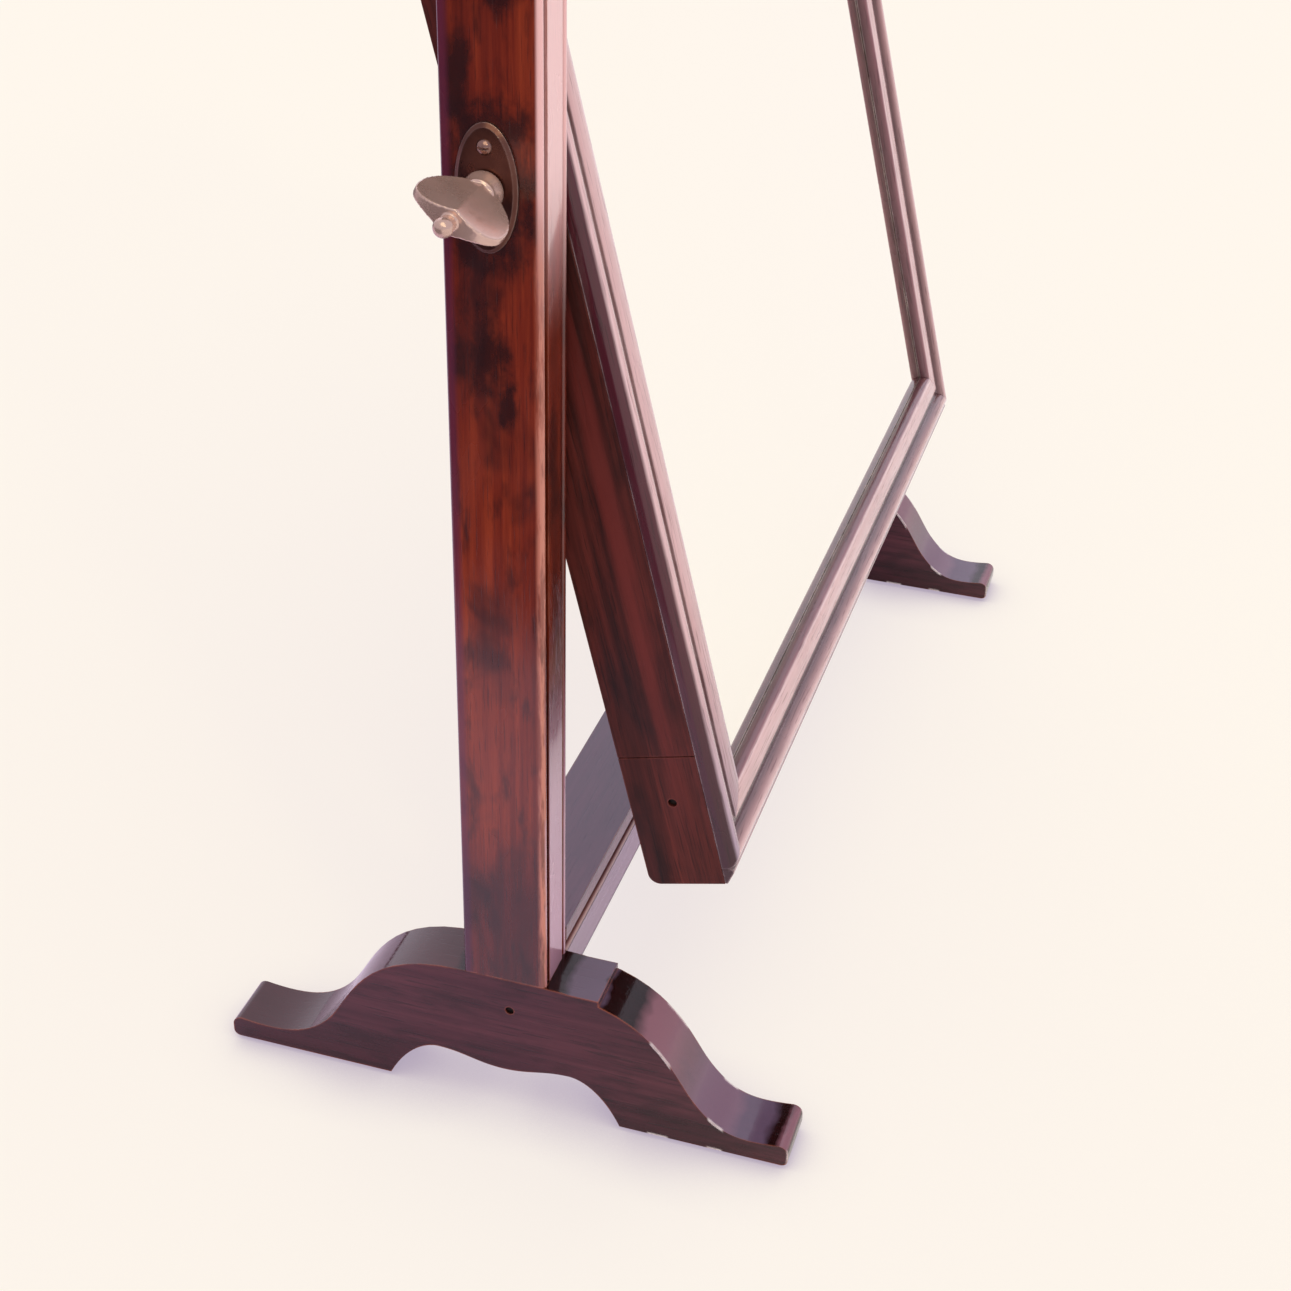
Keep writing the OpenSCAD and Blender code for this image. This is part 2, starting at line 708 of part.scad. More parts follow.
module plate_recess() {
  on_frame_side() {
    translate([0, 0, -plate_t]) linear_extrude(plate_t + over) plate_outline(seat_clear);
    translate([0, 0, -plate_t - boss_l]) cylinder(d = boss_d + 2*seat_clear, h = boss_l + over);
    translate([0, 0, -plate_t - boss_l - tenon_end_clear])
      cylinder(d = shank_d + 2*shank_clear, h = tenon_end_clear + over);
    for (x = [-plate_screw_gap/2, plate_screw_gap/2])
      translate([x, 0, -plate_screw_l - over])
        cylinder(d = plate_screw_d + 2*pin_clear, h = plate_screw_l + over);
  }
}

module stile() {
  color(dark_mahogany)
  at_pivot() difference() {
    across(-frame_x, -frame_x + stile_w) frame_outline();
    board_seat_cut();
    board_nail_holes();
    corner_pin_holes();
    plate_recess();
    rail_tenon(tenon_clear, tenon_end_clear);
    mirror([0, 0, 1]) rail_tenon(tenon_clear, tenon_end_clear);
    for (v = [-half_h + cross_h, half_h - cross_h])
      translate([-frame_x - over, seam_w - over, v - scribe_w/2])
        cube([scribe_d + over, back_d + 2*over, scribe_w]);
  }
}

// The bottom rail, drawn upright; the top rail is its mirror image
module cross_rail() {
  difference() {
    union() {
      intersection() {
        across(-rail_len/2, rail_len/2) frame_outline();
        translate([-frame_x, seam_w - over, -half_h - over])
          cube([frame_w, back_d + 2*over, cross_h + over]);
      }
      for (side = [-1, 1]) at_side(side) rail_tenon(0, 0);
    }
    translate([-frame_w/2, seam_w - over, -mould_h/2 + glass_in - seat_clear])
      cube([frame_w, glass_seat + over, cross_h]);
    board_seat_cut();
    board_nail_holes();
    for (side = [-1, 1]) at_side(side) corner_pin_holes();
  }
}

module bottom_rail() {
  color(dark_mahogany) at_pivot() cross_rail();
}

module top_rail() {
  color(dark_mahogany) at_pivot() mirror([0, 0, 1]) cross_rail();
}

// A length of moulding with mitred ends; edge lists the points of its outer side
module moulding(length, edge) {
  line = concat(edge, moulding_face);
  end = length/2 - seat_clear;
  outer = edge[0][0];
  square_end = outer < 0 ? [[outer, end], [outer, -end]] : [];
  color(moulding_mahogany)
  intersection() {
    translate([0, 0, -length/2]) linear_extrude(length) polygon([for (p = line) [p[0], -p[1]]]);
    rotate([90, 0, 0]) translate([0, 0, -over]) linear_extrude(bead_top + 2*over)
      polygon(concat([[0, -end], [mould_w, mould_w - end], [mould_w, end - mould_w], [0, end]], square_end));
  }
}

module side_moulding() {
  at_pivot() translate([-frame_x, seam_w, 0]) moulding(mould_h, [[0, 0]]);
}

module bottom_moulding() {
  at_pivot() translate([0, seam_w, -mould_h/2]) rotate([0, -90, 0]) moulding(frame_w, edge_points);
}

module top_moulding() {
  at_pivot() mirror([0, 0, 1]) translate([0, seam_w, -mould_h/2]) rotate([0, -90, 0])
    moulding(frame_w, edge_points);
}

module mirror_glass() {
  color(silvered)
  at_pivot() translate([-glass_w/2, glass_front, -glass_h/2]) cube([glass_w, glass_t, glass_h]);
}

module glass_blocks() {
  span = glass_h - 2*cross_h - block_l;
  color(pine)
  at_pivot() for (side = [-1, 1], v = spread(block_n, span)) at_side(side)
    translate([-frame_x + stile_w, glass_back, v - block_l/2])
      linear_extrude(block_l) polygon([[0, 0], [block_s, 0], [0, block_s]]);
}

module backboard() {
  color(pine)
  at_pivot() difference() {
    translate([-board_w/2, board_front, -board_h/2]) cube([board_w, board_t, board_h]);
    board_nail_holes();
  }
}

module backboard_nails() {
  color(iron)
  at_pivot() for (p = board_nail_places())
    translate([p[0], board_back, p[1]]) rotate([-90, 0, 0]) {
      translate([0, 0, -board_nail_l]) cylinder(d = board_nail_d, h = board_nail_l);
      cylinder(d = board_nail_head, h = board_nail_head_t);
    }
}

module corner_pins() {
  color(iron)
  at_pivot() for (side = [-1, 1], v = [-half_h + corner_pin_in, half_h - corner_pin_in]) at_side(side)
    translate([0, cross_tenon_back, v])
      rod_x(corner_pin_d, -frame_x + corner_pin_sunk, -frame_x + corner_pin_sunk + corner_pin_l);
}

module sunk_head(d, head, t, grow) {
  translate([0, 0, -t]) rotate_extrude()
    polygon([[0, 0], [d/2 + grow, 0], [head/2 + grow, t], [head/2 + grow, t + over*sign(grow)],
             [0, t + over*sign(grow)]]);
}

module pivot_plate() {
  color(old_brass)
  at_pivot() on_frame_side() difference() {
    union() {
      translate([0, 0, -plate_t]) linear_extrude(plate_t) plate_outline(0);
      translate([0, 0, -plate_t - boss_l]) cylinder(d = boss_d, h = boss_l + plate_t);
    }
    translate([0, 0, -plate_t - boss_l - over])
      cylinder(d = shank_d + 2*thread_clear, h = plate_t + boss_l + 2*over);
    for (x = [-plate_screw_gap/2, plate_screw_gap/2]) translate([x, 0, 0]) {
      sunk_head(plate_screw_d, plate_screw_head, plate_screw_head_t, pin_clear);
      translate([0, 0, -plate_t - over]) cylinder(d = plate_screw_d + 2*pin_clear, h = plate_t + over);
    }
  }
}

module pivot_plate_screws() {
  color(old_brass)
  at_pivot() for (side = [-1, 1], x = [-plate_screw_gap/2, plate_screw_gap/2]) at_side(side)
    on_frame_side() translate([x, 0, 0]) difference() {
      union() {
        sunk_head(plate_screw_d, plate_screw_head, plate_screw_head_t, 0);
        translate([0, 0, -plate_screw_l]) cylinder(d = plate_screw_d, h = plate_screw_l - slot_d);
      }
      translate([-slot_w/2, -plate_screw_head, -slot_d])
        cube([slot_w, 2*plate_screw_head, slot_d + over]);
    }
}

module washer() {
  color(leather)
  at_pivot() on_frame_side() difference() {
    cylinder(d = washer_d, h = side_gap - face_clear);
    translate([0, 0, -over]) cylinder(d = shank_d + 2*shank_clear, h = side_gap + 2*over);
  }
}

foot();  // left_foot
at_side(1) foot();  // right_foot
post();  // left_post
at_side(1) post();  // right_post
stretcher();
joint_pins();
foot_glides();
oval_plate();  // left_oval_plate
at_side(1) oval_plate();  // right_oval_plate
oval_plate_screws();  // left_oval_plate_screws
at_side(1) oval_plate_screws();  // right_oval_plate_screws
stile();  // left_stile
at_side(1) stile();  // right_stile
top_rail();
bottom_rail();
side_moulding();  // left_moulding
at_side(1) side_moulding();  // right_moulding
top_moulding();
bottom_moulding();
mirror_glass();
glass_blocks();
backboard();
backboard_nails();
corner_pins();
pivot_plate();  // left_pivot_plate
at_side(1) pivot_plate();  // right_pivot_plate
pivot_plate_screws();
washer();  // left_washer
at_side(1) washer();  // right_washer
thumb_screw();  // left_thumb_screw
at_side(1) thumb_screw();  // right_thumb_screw
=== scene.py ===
"""Looks of a mahogany dressing table mirror, built round the fixed frame.

Lengths are metres. Each wooden piece is a copy of its solid with softened arrises, kept in axes of
its own, so that the grain runs along the piece's local Z. Whatever repeats is a function or a loop.
"""

import json
import math

import bmesh
import bpy
from mathutils import Matrix, Vector

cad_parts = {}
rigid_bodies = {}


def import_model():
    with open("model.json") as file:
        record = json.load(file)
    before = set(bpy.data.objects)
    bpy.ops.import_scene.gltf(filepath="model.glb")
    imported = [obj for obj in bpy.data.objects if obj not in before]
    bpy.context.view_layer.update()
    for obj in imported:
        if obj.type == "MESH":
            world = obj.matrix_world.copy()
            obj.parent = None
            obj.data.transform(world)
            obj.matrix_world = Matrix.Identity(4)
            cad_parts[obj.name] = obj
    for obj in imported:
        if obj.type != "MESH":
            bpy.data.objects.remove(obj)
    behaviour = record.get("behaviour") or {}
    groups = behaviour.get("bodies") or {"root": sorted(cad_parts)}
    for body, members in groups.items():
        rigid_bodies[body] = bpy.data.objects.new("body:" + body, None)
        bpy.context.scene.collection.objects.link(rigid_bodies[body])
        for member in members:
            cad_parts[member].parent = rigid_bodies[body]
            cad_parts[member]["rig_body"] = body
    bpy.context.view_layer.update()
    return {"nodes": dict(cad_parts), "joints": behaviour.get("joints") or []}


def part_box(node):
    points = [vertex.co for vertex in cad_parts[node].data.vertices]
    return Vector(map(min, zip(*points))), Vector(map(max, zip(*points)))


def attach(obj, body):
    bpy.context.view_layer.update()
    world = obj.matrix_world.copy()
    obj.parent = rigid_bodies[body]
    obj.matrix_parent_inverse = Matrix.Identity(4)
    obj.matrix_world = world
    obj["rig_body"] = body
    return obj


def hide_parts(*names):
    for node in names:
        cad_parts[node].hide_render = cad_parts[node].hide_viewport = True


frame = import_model()

MM = 0.001
JOINTS = {joint["name"]: joint for joint in frame["joints"]}
PIVOT = Vector(JOINTS["mirror_tilt"]["pos_m"])
# How far the mirror leans back at rest
LEAN = math.radians(14.2)

# Camera, in the axes of the part: the photograph's viewing angle and its 1291 pixel square frame
IMAGE_SIZE = 1291
FOCAL_PIXELS = 2124.82
SENSOR_MM = 36
CAMERA_PLACE = Vector((-0.75056, -0.2087, 0.55065))
CAMERA_AZIMUTH = math.radians(-73.41)
CAMERA_ELEVATION = math.radians(31.83)
CAMERA_ROLL = math.radians(1.443)


def make_camera():
    away = Vector((math.sin(CAMERA_AZIMUTH) * math.cos(CAMERA_ELEVATION),
                   -math.cos(CAMERA_AZIMUTH) * math.cos(CAMERA_ELEVATION),
                   math.sin(CAMERA_ELEVATION)))
    level = Vector((0, 0, 1)).cross(away).normalized()
    upright = away.cross(level)
    right = level * math.cos(CAMERA_ROLL) + upright * math.sin(CAMERA_ROLL)
    up = upright * math.cos(CAMERA_ROLL) - level * math.sin(CAMERA_ROLL)
    data = bpy.data.cameras.new("camera")
    data.sensor_width = SENSOR_MM
    data.lens = FOCAL_PIXELS * SENSOR_MM / IMAGE_SIZE
    camera = bpy.data.objects.new("camera", data)
    matrix = Matrix((right, up, away)).transposed().to_4x4()
    matrix.translation = CAMERA_PLACE
    camera.matrix_world = matrix
    bpy.context.scene.collection.objects.link(camera)
    bpy.context.scene.camera = camera


class Shader:
    """The nodes of a material or world: numbers and colours set a socket, sockets are linked to it."""

    def __init__(self, name, kind="materials"):
        self.owner = getattr(bpy.data, kind).new(name)
        self.owner.use_nodes = True
        self.tree = self.owner.node_tree
        self.tree.nodes.clear()

    def put(self, socket, value):
        if isinstance(value, bpy.types.NodeSocket):
            self.tree.links.new(value, socket)
        elif hasattr(value, "__len__") and len(value) == 3 and socket.type == "RGBA":
            socket.default_value = (*value, 1)
        else:
            socket.default_value = value

    def node(self, kind, sockets=None, **settings):
        node = self.tree.nodes.new("ShaderNode" + kind)
        for key, value in settings.items():
            setattr(node, key, value)
        for key, value in (sockets or {}).items():
            self.put(node.inputs[key], value)
        return node

    def maths(self, operation, first, second=0):
        return self.node("Math", {0: first, 1: second}, operation=operation).outputs[0]

    def times(self, first, second):
        return self.maths("MULTIPLY", first, second)

    def size(self, value):
        return self.maths("ABSOLUTE", value)

    def dot(self, first, second):
        return self.node("VectorMath", {0: first, 1: second}, operation="DOT_PRODUCT").outputs["Value"]

    def local(self, stretch=(1, 1, 1), shift=(0, 0, 0)):
        """Local coordinates, scaled along each axis and then shifted."""
        place = self.node("TexCoord").outputs["Object"]
        return self.node("Mapping", {"Vector": place, "Scale": stretch, "Location": shift}).outputs[0]

    def axis(self, name, of="Object"):
        """One local coordinate, or with of="Normal" one component of the local normal."""
        return self.node("SeparateXYZ", {0: self.node("TexCoord").outputs[of]}).outputs[name]

    def along(self, direction):
        """Distance from the local origin along a local direction."""
        return self.dot(self.node("TexCoord").outputs["Object"], direction)

    def noise(self, vector, scale, detail=2, rough=0.5, twist=0):
        sockets = {"Vector": vector, "Scale": scale, "Detail": detail}
        sockets.update({"Roughness": rough, "Distortion": twist})
        return self.node("TexNoise", sockets).outputs["Fac"]

    def grain(self, scale, along, detail=2, rough=0.5, twist=0, shift=(0, 0, 0)):
        """Noise that is drawn out along local Z, the more so the smaller along is."""
        return self.noise(self.local((1, 1, along), shift), scale, detail, rough, twist)

    def spread(self, value, low, high, to_low=0, to_high=1, smooth=False):
        """The value's place between low and high, as a place between to_low and to_high."""
        kind = "SMOOTHSTEP" if smooth else "LINEAR"
        sockets = {"Value": value, "From Min": low, "From Max": high}
        sockets.update({"To Min": to_low, "To Max": to_high})
        return self.node("MapRange", sockets, interpolation_type=kind).outputs[0]

    def fade(self, value, low, high, share=1):
        """0 at low and share at high, with a smooth change between them."""
        return self.spread(value, low, high, 0, share, True)

    def band(self, value, low, high, soft):
        """1 between low and high, 0 outside them, with soft ends."""
        rise = self.fade(value, low - soft, low + soft)
        return self.times(rise, self.fade(value, high + soft, high - soft))

    def blend(self, factor, first, second, kind="MIX"):
        node = self.node("Mix", data_type="RGBA", blend_type=kind)
        self.put(node.inputs["Factor"], factor)
        self.put(node.inputs[6], first)
        self.put(node.inputs[7], second)
        return node.outputs[2]

    def ramp(self, value, *stops):
        node = self.node("ValToRGB", {"Fac": value})
        points = node.color_ramp.elements
        while len(points) < len(stops):
            points.new(0.5)
        for point, (place, colour) in zip(points, stops):
            point.position = place
            point.color = (*colour, 1)
        return node.outputs[0]

    def profile(self, distance, start, end, stops):
        """The colours of a profile, laid out in millimetres, at a distance between start and end."""
        places = [((place * MM - start) / (end - start), colour) for place, colour in stops]
        return self.ramp(self.spread(distance, start, end), *places)

    def arris(self, radius, low=0.02, high=0.2):
        """1 on sharp outer and inner edges, 0 on flat faces."""
        soft = self.node("Bevel", {"Radius": radius}, samples=6).outputs[0]
        same = self.dot(soft, self.node("NewGeometry").outputs["Normal"])
        return self.spread(same, 1 - low, 1 - high)

    def hollow(self, distance):
        """1 deep in a groove, 0 in the open."""
        occlusion = self.node("AmbientOcclusion", {"Distance": distance}, samples=6, only_local=True)
        return self.maths("SUBTRACT", 1, occlusion.outputs["AO"])

    def bump(self, height, distance, strength=1, normal=None):
        sockets = {"Height": height, "Distance": distance, "Strength": strength}
        if normal:
            sockets["Normal"] = normal
        return self.node("Bump", sockets).outputs[0]

    def surface(self, colour, roughness, normal=None, **settings):
        """The finished material; settings are the shader's other sockets, such as coat_weight."""
        sockets = {"Base Color": colour, "Roughness": roughness}
        if normal:
            sockets["Normal"] = normal
            sockets["Coat Normal"] = normal
        for key, value in settings.items():
            sockets[key.replace("_", " ").title().replace("Ior", "IOR")] = value
        self.finish(self.node("BsdfPrincipled", sockets).outputs[0])
        return self.owner

    def finish(self, shader, output="OutputMaterial"):
        self.put(self.node(output).inputs["Surface"], shader)


# Noises of the wood: scale across the grain, stretch along it, detail, roughness, distortion, shift
BANDS = (42, 0.1, 3, 0.55, 0.3)
STREAKS = (330, 0.03, 5, 0.65)
PORES = (1500, 0.045, 2, 0.5)
PATCHES = (44, 0.55, 3, 0.6, 0.4, (0.7, 0.3, 0.1))
DABS = (150, 0.3, 3, 0.6, 0, (0.2, 0.9, 0.4))
WORN_SPOTS = (160, 0.25, 4, 0.7)
SMEARS = (60, 0.4, 3)
RIPPLES = (55, 0.3, 2)
# Reach of the darkening in hollows and of the wear at arrises, and the relief of pores and ripples
HOLLOW_REACH = 4 * MM
WEAR_REACH = 1.2 * MM
PORE_RELIEF = 0.06 * MM
RIPPLE_RELIEF = 0.6 * MM
# The polish over the wood
POLISH_IOR = 1.3
POLISH_ROUGHNESS = 0.06


def mahogany(name, tones, worn, marks=None, stain=0.4, gloss=0.2, coat=1.0, ior=1.4, soil=None, hollow_dark=0.8):
    """Polished mahogany: bands and fine streaks along the grain, pores, dark patches, pale worn arrises.

    tones are the dark, middle and light colours of the bands; marks adds colours of its own; stain and soil
    are the share of dark patches and their colour, and the last argument is the share by which hollows
    darken.
    """
    s = Shader(name)
    dark, middling, light = tones
    soil = soil or [c * 0.3 for c in dark]
    streaks = s.grain(*STREAKS)
    tone = s.maths("ADD", s.times(s.grain(*BANDS), 0.55), s.times(streaks, 0.45))
    colour = s.ramp(tone, (0.36, dark), (0.49, middling), (0.62, light))
    pores = s.spread(s.grain(*PORES), 0.58, 0.68, 0, 0.5)
    colour = s.blend(pores, colour, soil)
    colour = s.blend(s.fade(s.grain(*PATCHES), 0.48, 0.7, stain), colour, soil)
    colour = s.blend(s.fade(s.grain(*DABS), 0.52, 0.72, stain * 0.8), colour, soil)
    if marks:
        colour = marks(s, colour)
    # Darker towards soil deep in hollows
    colour = s.blend(s.spread(s.hollow(HOLLOW_REACH), 0.2, 0.85, 0, hollow_dark), colour, soil)
    wear = s.times(s.arris(WEAR_REACH), s.spread(s.grain(*WORN_SPOTS), 0.4, 0.62, 0.1, 0.9))
    colour = s.blend(wear, colour, worn)
    smeared = s.spread(s.grain(*SMEARS), 0.35, 0.65, gloss - 0.05, gloss + 0.09)
    roughness = s.maths("ADD", smeared, s.times(wear, 0.15))
    normal = s.bump(s.maths("SUBTRACT", s.times(streaks, 0.5), pores), PORE_RELIEF, 0.6)
    normal = s.bump(s.grain(*RIPPLES), RIPPLE_RELIEF, 0.18, normal)
    return s.surface(colour, roughness, normal, ior=ior, coat_weight=coat, coat_ior=POLISH_IOR,
                     coat_roughness=POLISH_ROUGHNESS)


# Dark smudges on a post's outer side: distance back and up from the pivot, and half width and height
SMUDGES = ((0, 0, 0.013, 0.0235), (0.004, -0.05, 0.0085, 0.012), (-0.004, 0.056, 0.006, 0.006),
           (-0.005, -0.068, 0.003, 0.006), (0.009, 0.03, 0.004, 0.012))
SMUDGE = (0.022, 0.0035, 0.0025)
SMUDGE_SHARE = 0.88
# Painted light on a post: a violet reflection on the back edge, shade at the low side and reflections on
# the front; the bead's colour is partly wear, partly a painted highlight
POST_BACK_EDGE_REFLECTION = (0.12, 0.016, 0.045)
POST_LOW_SIDE_SHADE = (0.45, 0.35, 0.9)
POST_HIGH_FRONT_REFLECTION = (0.98, 0.56, 0.54)
POST_LOW_FRONT_REFLECTION = (0.75, 0.42, 0.55)
POST_BEAD_WEAR_AND_HIGHLIGHT = (0.62, 0.22, 0.15)


def post_marks(s, colour):
    """Dark smudges on the side, painted shade at its low end and a painted violet reflection on its back
    edge;
    painted reflections on the front, pale above and violet below; a bead partly rubbed, partly painted
    highlight.
    """
    low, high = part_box("left_post")
    front, back = low.y - PIVOT.y, high.y - PIVOT.y
    across, up = s.axis("Y"), s.axis("Z")
    inward = s.size(s.axis("X"))
    side = s.spread(inward, 0.0015, 0.0005)
    cloud = s.grain(110, 0.7, 4, 0.6, 0, (0.3, 0.1, 0.6))
    ragged = s.spread(cloud, 0.3, 0.7, -0.7, 0.6)
    for back_by, up_by, half_across, half_up in SMUDGES:
        place = {0: s.maths("DIVIDE", s.maths("SUBTRACT", across, back_by), half_across),
                 1: s.maths("DIVIDE", s.maths("SUBTRACT", up, up_by), half_up)}
        ring = s.node("CombineXYZ", place).outputs[0]
        reach = s.node("VectorMath", {0: ring}, operation="LENGTH").outputs["Value"]
        smudge = s.fade(s.maths("ADD", reach, ragged), 1.5, 0.4, SMUDGE_SHARE)
        colour = s.blend(s.times(side, smudge), colour, SMUDGE)
    # Painted violet reflection along the back edge of the side
    edge = s.fade(across, back - 0.0042, back - 0.0016, 0.75)
    colour = s.blend(s.times(side, edge), colour, POST_BACK_EDGE_REFLECTION)
    # Painted shade, with a violet cast, at the low end of the side
    low_side_shade = s.times(side, s.spread(up, -0.222, -0.25))
    colour = s.blend(low_side_shade, colour, POST_LOW_SIDE_SHADE, "MULTIPLY")
    # Painted pale reflection high on the front, and a painted violet reflection low on it
    high_front_reflection = s.times(s.fade(across, front + 0.0022, front + 0.001), s.fade(up, -0.05, 0.015, 0.9))
    colour = s.blend(high_front_reflection, colour, POST_HIGH_FRONT_REFLECTION)
    low_front_reflection = s.times(s.spread(across, front + 0.0004, front + 0.0001), s.fade(up, -0.15, -0.22, 0.85))
    colour = s.blend(low_front_reflection, colour, POST_LOW_FRONT_REFLECTION)
    # The bead's colour: partly rubbed wear, partly a painted highlight
    rubbed = s.spread(s.grain(300, 0.12, 4, 0.7), 0.42, 0.56, 0.3, 0.95)
    bead = s.times(s.fade(across, front + 0.003, front + 0.0012), rubbed)
    bead = s.times(bead, s.spread(inward, 0.0032, 0.0026))
    bead = s.times(bead, s.spread(up, 0.0, -0.03))
    return s.blend(bead, colour, POST_BEAD_WEAR_AND_HIGHLIGHT)


# Colours painted on a foot's top as reflections: lilac and pink sheen, and near black where the top shows a
# dark reflection
FOOT_LILAC_SHEEN = (0.13, 0.085, 0.14)
FOOT_SHEEN = (0.22, 0.12, 0.18)
FOOT_PINK_SHEEN = (0.28, 0.115, 0.15)
FOOT_WARM = (0.24, 0.055, 0.025)
FOOT_DARK_TOP = (0.008, 0.002, 0.0015)
FOOT_BROWN = (0.065, 0.017, 0.02)
# A painted glint
FOOT_GLINT = (0.95, 0.85, 0.84)
# Painted sheen and reflections along the top of a foot, near black between them: millimetres back from the
# frame's origin, negative ahead, and the colour
FOOT_FROM = -114 * MM
FOOT_TO = 20 * MM
FOOT_PROFILE = ((-114, FOOT_SHEEN), (-109.5, FOOT_SHEEN), (-108, FOOT_PINK_SHEEN), (-105, FOOT_PINK_SHEEN),
                (-102, FOOT_DARK_TOP), (-100, FOOT_DARK_TOP), (-97, FOOT_LILAC_SHEEN), (-88, FOOT_LILAC_SHEEN),
                (-84, FOOT_SHEEN), (-70, FOOT_SHEEN), (-60, FOOT_PINK_SHEEN), (-53, FOOT_PINK_SHEEN),
                (-48.5, FOOT_DARK_TOP), (-37.5, FOOT_DARK_TOP), (-36, FOOT_LILAC_SHEEN), (-25.5, FOOT_LILAC_SHEEN),
                (-22.5, FOOT_DARK_TOP), (14, FOOT_DARK_TOP), (17, FOOT_BROWN), (20, FOOT_BROWN))
# Stretches of a foot's top arris with a painted glint: where they start and end, and their soft ends
FOOT_GLINTS = ((-0.063, -0.0555), (-0.083, -0.0775), (-0.1085, -0.1065))
GLINT_SOFT = 0.6 * MM


def foot_marks(s, colour):
    """Painted sheen and reflections along the top, lilac and pink with near black between; warm rubbed
    arrises; painted glints.
    """
    back = s.maths("ADD", s.axis("Z"), middle("left_foot").y)
    up, out = s.axis("X", "Normal"), s.size(s.axis("Y", "Normal"))
    drift = s.spread(s.noise(s.local(), 90, 2), 0.3, 0.7, -0.0015, 0.0015)
    profile = s.profile(s.maths("ADD", back, drift), FOOT_FROM, FOOT_TO, FOOT_PROFILE)
    # Painted sheen and reflections on the upward faces
    colour = s.blend(s.spread(up, 0.35, 0.6, 0, 0.85), colour, profile)
    slanted = s.spread(s.times(up, out), 0.04, 0.2)
    rubbed = s.spread(s.grain(130, 0.4, 3, 0.6), 0.4, 0.6, 0.15, 0.8)
    colour = s.blend(s.times(slanted, rubbed), colour, FOOT_WARM)
    arris = s.arris(0.0016, 0.005, 0.06)
    # Painted glints on the top arris
    for start, end in FOOT_GLINTS:
        colour = s.blend(s.times(arris, s.band(back, start, end, GLINT_SOFT)), colour, FOOT_GLINT)
    return colour


# A red band on the stiles: its start and end back from the pivot, how soft both are, and its colour
STILE_BAND = (-0.0055, 0.001)
STILE_BAND_SOFT = 0.0018
STILE_RED = (0.165, 0.022, 0.017)


def stile_marks(s, colour):
    """A redder band along the side, a little ahead of its middle, lost in the dark at both ends."""
    wander = s.spread(s.grain(120, 0.12, 3, 0.6), 0.3, 0.7, -0.0012, 0.0012)
    streaks = s.spread(s.grain(260, 0.05, 3, 0.6), 0.35, 0.6, 0.3, 0.9)
    red = s.times(s.band(s.maths("ADD", s.axis("X"), wander), *STILE_BAND, STILE_BAND_SOFT), streaks)
    ends = s.spread(s.size(s.axis("Z")), 0.24, 0.19, 0, 0.85)
    return s.blend(s.times(red, ends), colour, STILE_RED)


# Across a moulding: steep sides dark, painted highlights on the crowns, the band's wood with painted sheen,
# painted sheen on the bevelled edges, painted shade in the fillet and on the inner wall
MOULD_SIDE_DARK = (0.085, 0.012, 0.022)
SUNK_SHADE = (0.10, 0.035, 0.044)
CROWN_HIGHLIGHT = (0.88, 0.62, 0.64)
BAND_WOOD_AND_SHEEN = (0.76, 0.47, 0.47)
BEVEL = (0.58, 0.36, 0.38)
MOULD_SHADE = (0.26, 0.11, 0.13)
MOULD_LOW_END = (0.45, 0.5, 0.7)
MOULD_DARK = (0.05, 0.016, 0.02)
# Colours across the moulding, with painted highlights, sheen and shade: millimetres from the bead's outer
# side, and the colour there
MOULD_FROM = -6 * MM
MOULD_TO = 24 * MM
MOULD_PROFILE = ((-6, BEVEL), (-1.1, BEVEL), (-0.6, MOULD_SIDE_DARK), (1.4, MOULD_SIDE_DARK), (2.7, CROWN_HIGHLIGHT),
                 (4.6, BAND_WOOD_AND_SHEEN), (8.8, SUNK_SHADE), (12.3, SUNK_SHADE), (13.3, BAND_WOOD_AND_SHEEN), (20.4, BAND_WOOD_AND_SHEEN),
                 (21.6, CROWN_HIGHLIGHT), (22.7, MOULD_SHADE), (24, SUNK_SHADE))


def moulding_marks(backward, outward, half, low_end_darkening=0):
    """Colours across a moulding: painted highlights on the crowns, painted sheen on the band, painted shade
    in the sunk fillet, steep sides dark.

    backward is the local direction to the mirror's back, outward that to one of its outer sides, and
    both outer sides lie half away from the pivot. The moulding's back and its end grain are dark.
    The fourth argument is the share by which the low end turns darker and bluer, only on the side that
    outward points to.
    """
    def marks(s, colour):
        outwards = s.along(outward)
        across = s.maths("SUBTRACT", half, s.size(outwards))
        wander = s.spread(s.grain(260, 0.15, 3, 0.6), 0.3, 0.7, -0.00015, 0.00015)
        # Painted highlights, sheen and shade across the moulding
        profile = s.profile(s.maths("ADD", across, wander), MOULD_FROM, MOULD_TO, MOULD_PROFILE)
        colour = s.blend(1.0, colour, profile, "MULTIPLY")
        # Darker and bluer towards the low end
        low_end = s.times(s.spread(outwards, 0, half), s.spread(s.axis("Z"), -0.165, -0.24, 0, low_end_darkening))
        colour = s.blend(low_end, colour, MOULD_LOW_END, "MULTIPLY")
        deep = s.spread(s.along(backward), -0.0115, -0.0105)
        end_grain = s.spread(s.size(s.axis("Z", "Normal")), 0.78, 0.9)
        return s.blend(s.maths("MAXIMUM", s.times(deep, 0.6), end_grain), colour, MOULD_DARK)
    return marks


